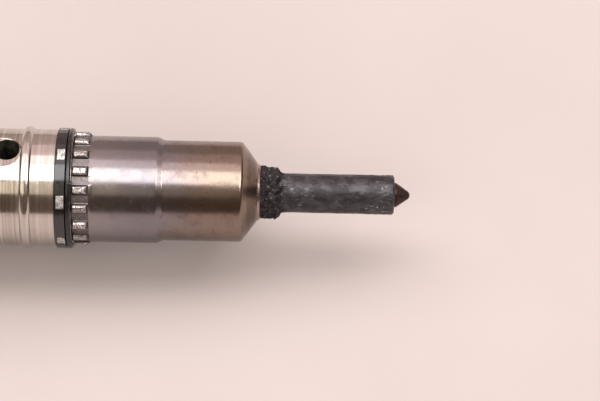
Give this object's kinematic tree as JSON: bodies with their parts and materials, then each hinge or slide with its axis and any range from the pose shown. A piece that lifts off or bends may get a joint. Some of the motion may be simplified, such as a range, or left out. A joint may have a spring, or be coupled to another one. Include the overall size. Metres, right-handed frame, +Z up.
{
  "type": "fuel injector",
  "caption": "Common-rail diesel injector: sooted nozzle, splined cap nut, slotted seal ring and side fuel inlet on a turned steel body, solenoid head with terminal studs.",
  "frame": {"origin": "on the injector's axis, in the plane where the cap nut's lower cylinder ends and its nose starts", "axes": "+X along the axis towards the nozzle tip, +Z upwards, along the axis of the fuel inlet; the part lies on its side on a floor"},
  "size_m": [0.2025, 0.0302, 0.0264],
  "materials": {
    "body_steel": "fine turned, polished by handling",
    "nut_steel": "ground, browned by heat towards the nozzle",
    "sooted_steel": "steel under baked soot and carbon crust",
    "hard_steel": "hardened and ground",
    "spring_steel": "oiled, dark",
    "core_iron": "sintered, matt",
    "seal_rubber": "smooth, slightly oily",
    "ring_plastic": "satin",
    "cap_plastic": "moulded, glass filled",
    "terminal_brass": "plain",
    "copper": "copper, lacquered wire and soft washers"
  },
  "bodies": {
    "injector": {"nozzle_body": "sooted_steel", "nozzle_cap_nut": "nut_steel", "spacer_plate": "hard_steel", "dowel_pins": "hard_steel", "nozzle_spring": "spring_steel", "spring_shim": "hard_steel", "injector_body": "body_steel", "nut_o_ring": "seal_rubber", "slotted_ring": "ring_plastic", "gallery_o_ring": "seal_rubber", "upper_o_ring": "seal_rubber", "valve_body": "hard_steel", "valve_seal_ring": "copper", "valve_clamp_nut": "spring_steel", "lift_shim": "hard_steel", "armature_guide": "hard_steel", "armature_clamp_nut": "spring_steel", "armature_spring": "spring_steel", "solenoid_core": "core_iron", "coil_bobbin": "cap_plastic", "coil_winding": "copper", "valve_spring": "spring_steel", "preload_shim": "hard_steel", "solenoid_sleeve": "body_steel", "sleeve_o_ring": "seal_rubber", "solenoid_nut": "body_steel", "connector_cap": "cap_plastic", "terminal_studs": "terminal_brass", "terminal_washers": "body_steel", "terminal_nuts": "terminal_brass", "coil_leads": "copper"},
    "needle_group": {"nozzle_needle": "hard_steel", "spring_collar": "hard_steel", "control_plunger": "hard_steel"},
    "valve_stem": {"armature_pin": "hard_steel", "armature_clip": "spring_steel", "ball_retainer": "hard_steel", "valve_ball": "hard_steel"},
    "armature": {"armature_plate": "core_iron"}
  },
  "joints": [
    {"name": "needle_lift", "type": "slide", "parent": "injector", "child": "needle_group", "axis": [-1, 0, 0], "range_m": [0, 0.0003], "stiffness_N_per_m": 30000, "deforming": ["nozzle_spring"]},
    {"name": "valve_lift", "type": "slide", "parent": "injector", "child": "valve_stem", "axis": [-1, 0, 0], "range_m": [0, 0.00006], "stiffness_N_per_m": 30000, "deforming": ["valve_spring"]},
    {"name": "armature_overtravel", "type": "slide", "parent": "valve_stem", "child": "armature", "axis": [1, 0, 0], "range_m": [0, 0.0005], "stiffness_N_per_m": 8000, "deforming": ["armature_spring"]}
  ]
}
